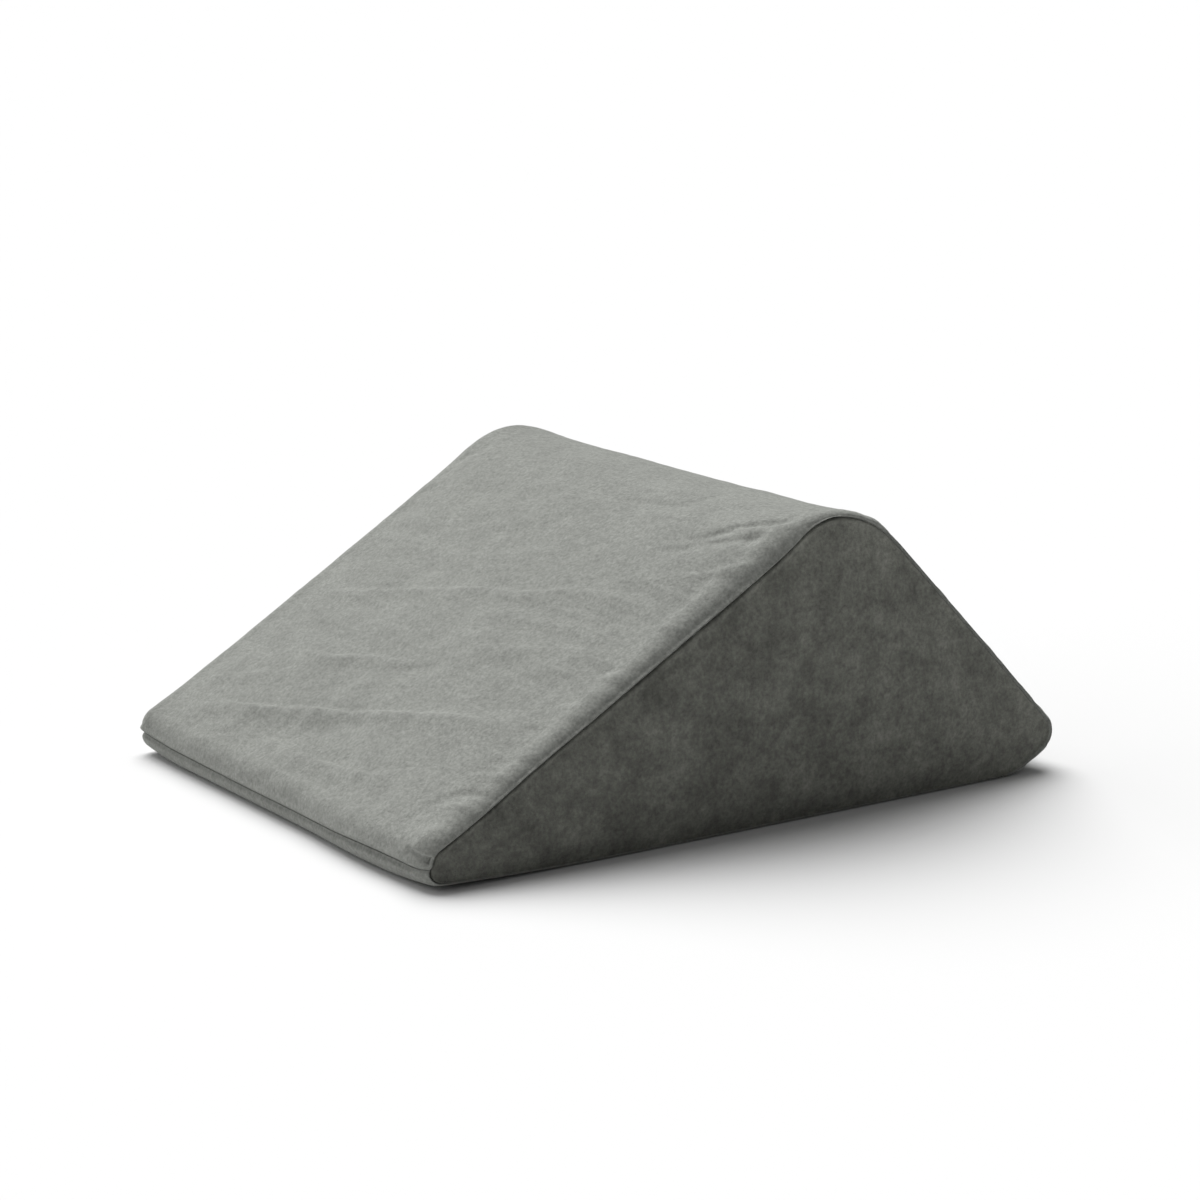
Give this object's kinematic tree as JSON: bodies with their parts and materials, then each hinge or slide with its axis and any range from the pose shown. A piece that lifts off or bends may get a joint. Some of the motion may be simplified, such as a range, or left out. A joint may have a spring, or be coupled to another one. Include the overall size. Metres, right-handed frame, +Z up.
{
  "type": "wedge pillow",
  "caption": "Wedge-shaped pillow in brushed grey cloth, with a gentle sleeping slope, a rounded ridge, a steep rear and a flat base.",
  "frame": {"origin": "centre of the part's box at the surface it rests on", "axes": "+X along the ridge to the right end, +Y from the thin front edge to the steep rear, +Z up"},
  "size_m": [0.4, 0.4999, 0.199],
  "materials": {
    "wrap_cloth": "mid-grey brushed velour with a fine short nap",
    "side_cloth": "the same grey velour, mottled where the nap lies different ways",
    "base_cloth": "the same grey velour, flat on the underside"
  },
  "bodies": {
    "root": {"pillow_body": "wrap_cloth", "side_panel_right": "side_cloth", "side_panel_left": "side_cloth", "base_panel": "base_cloth"}
  },
  "joints": []
}
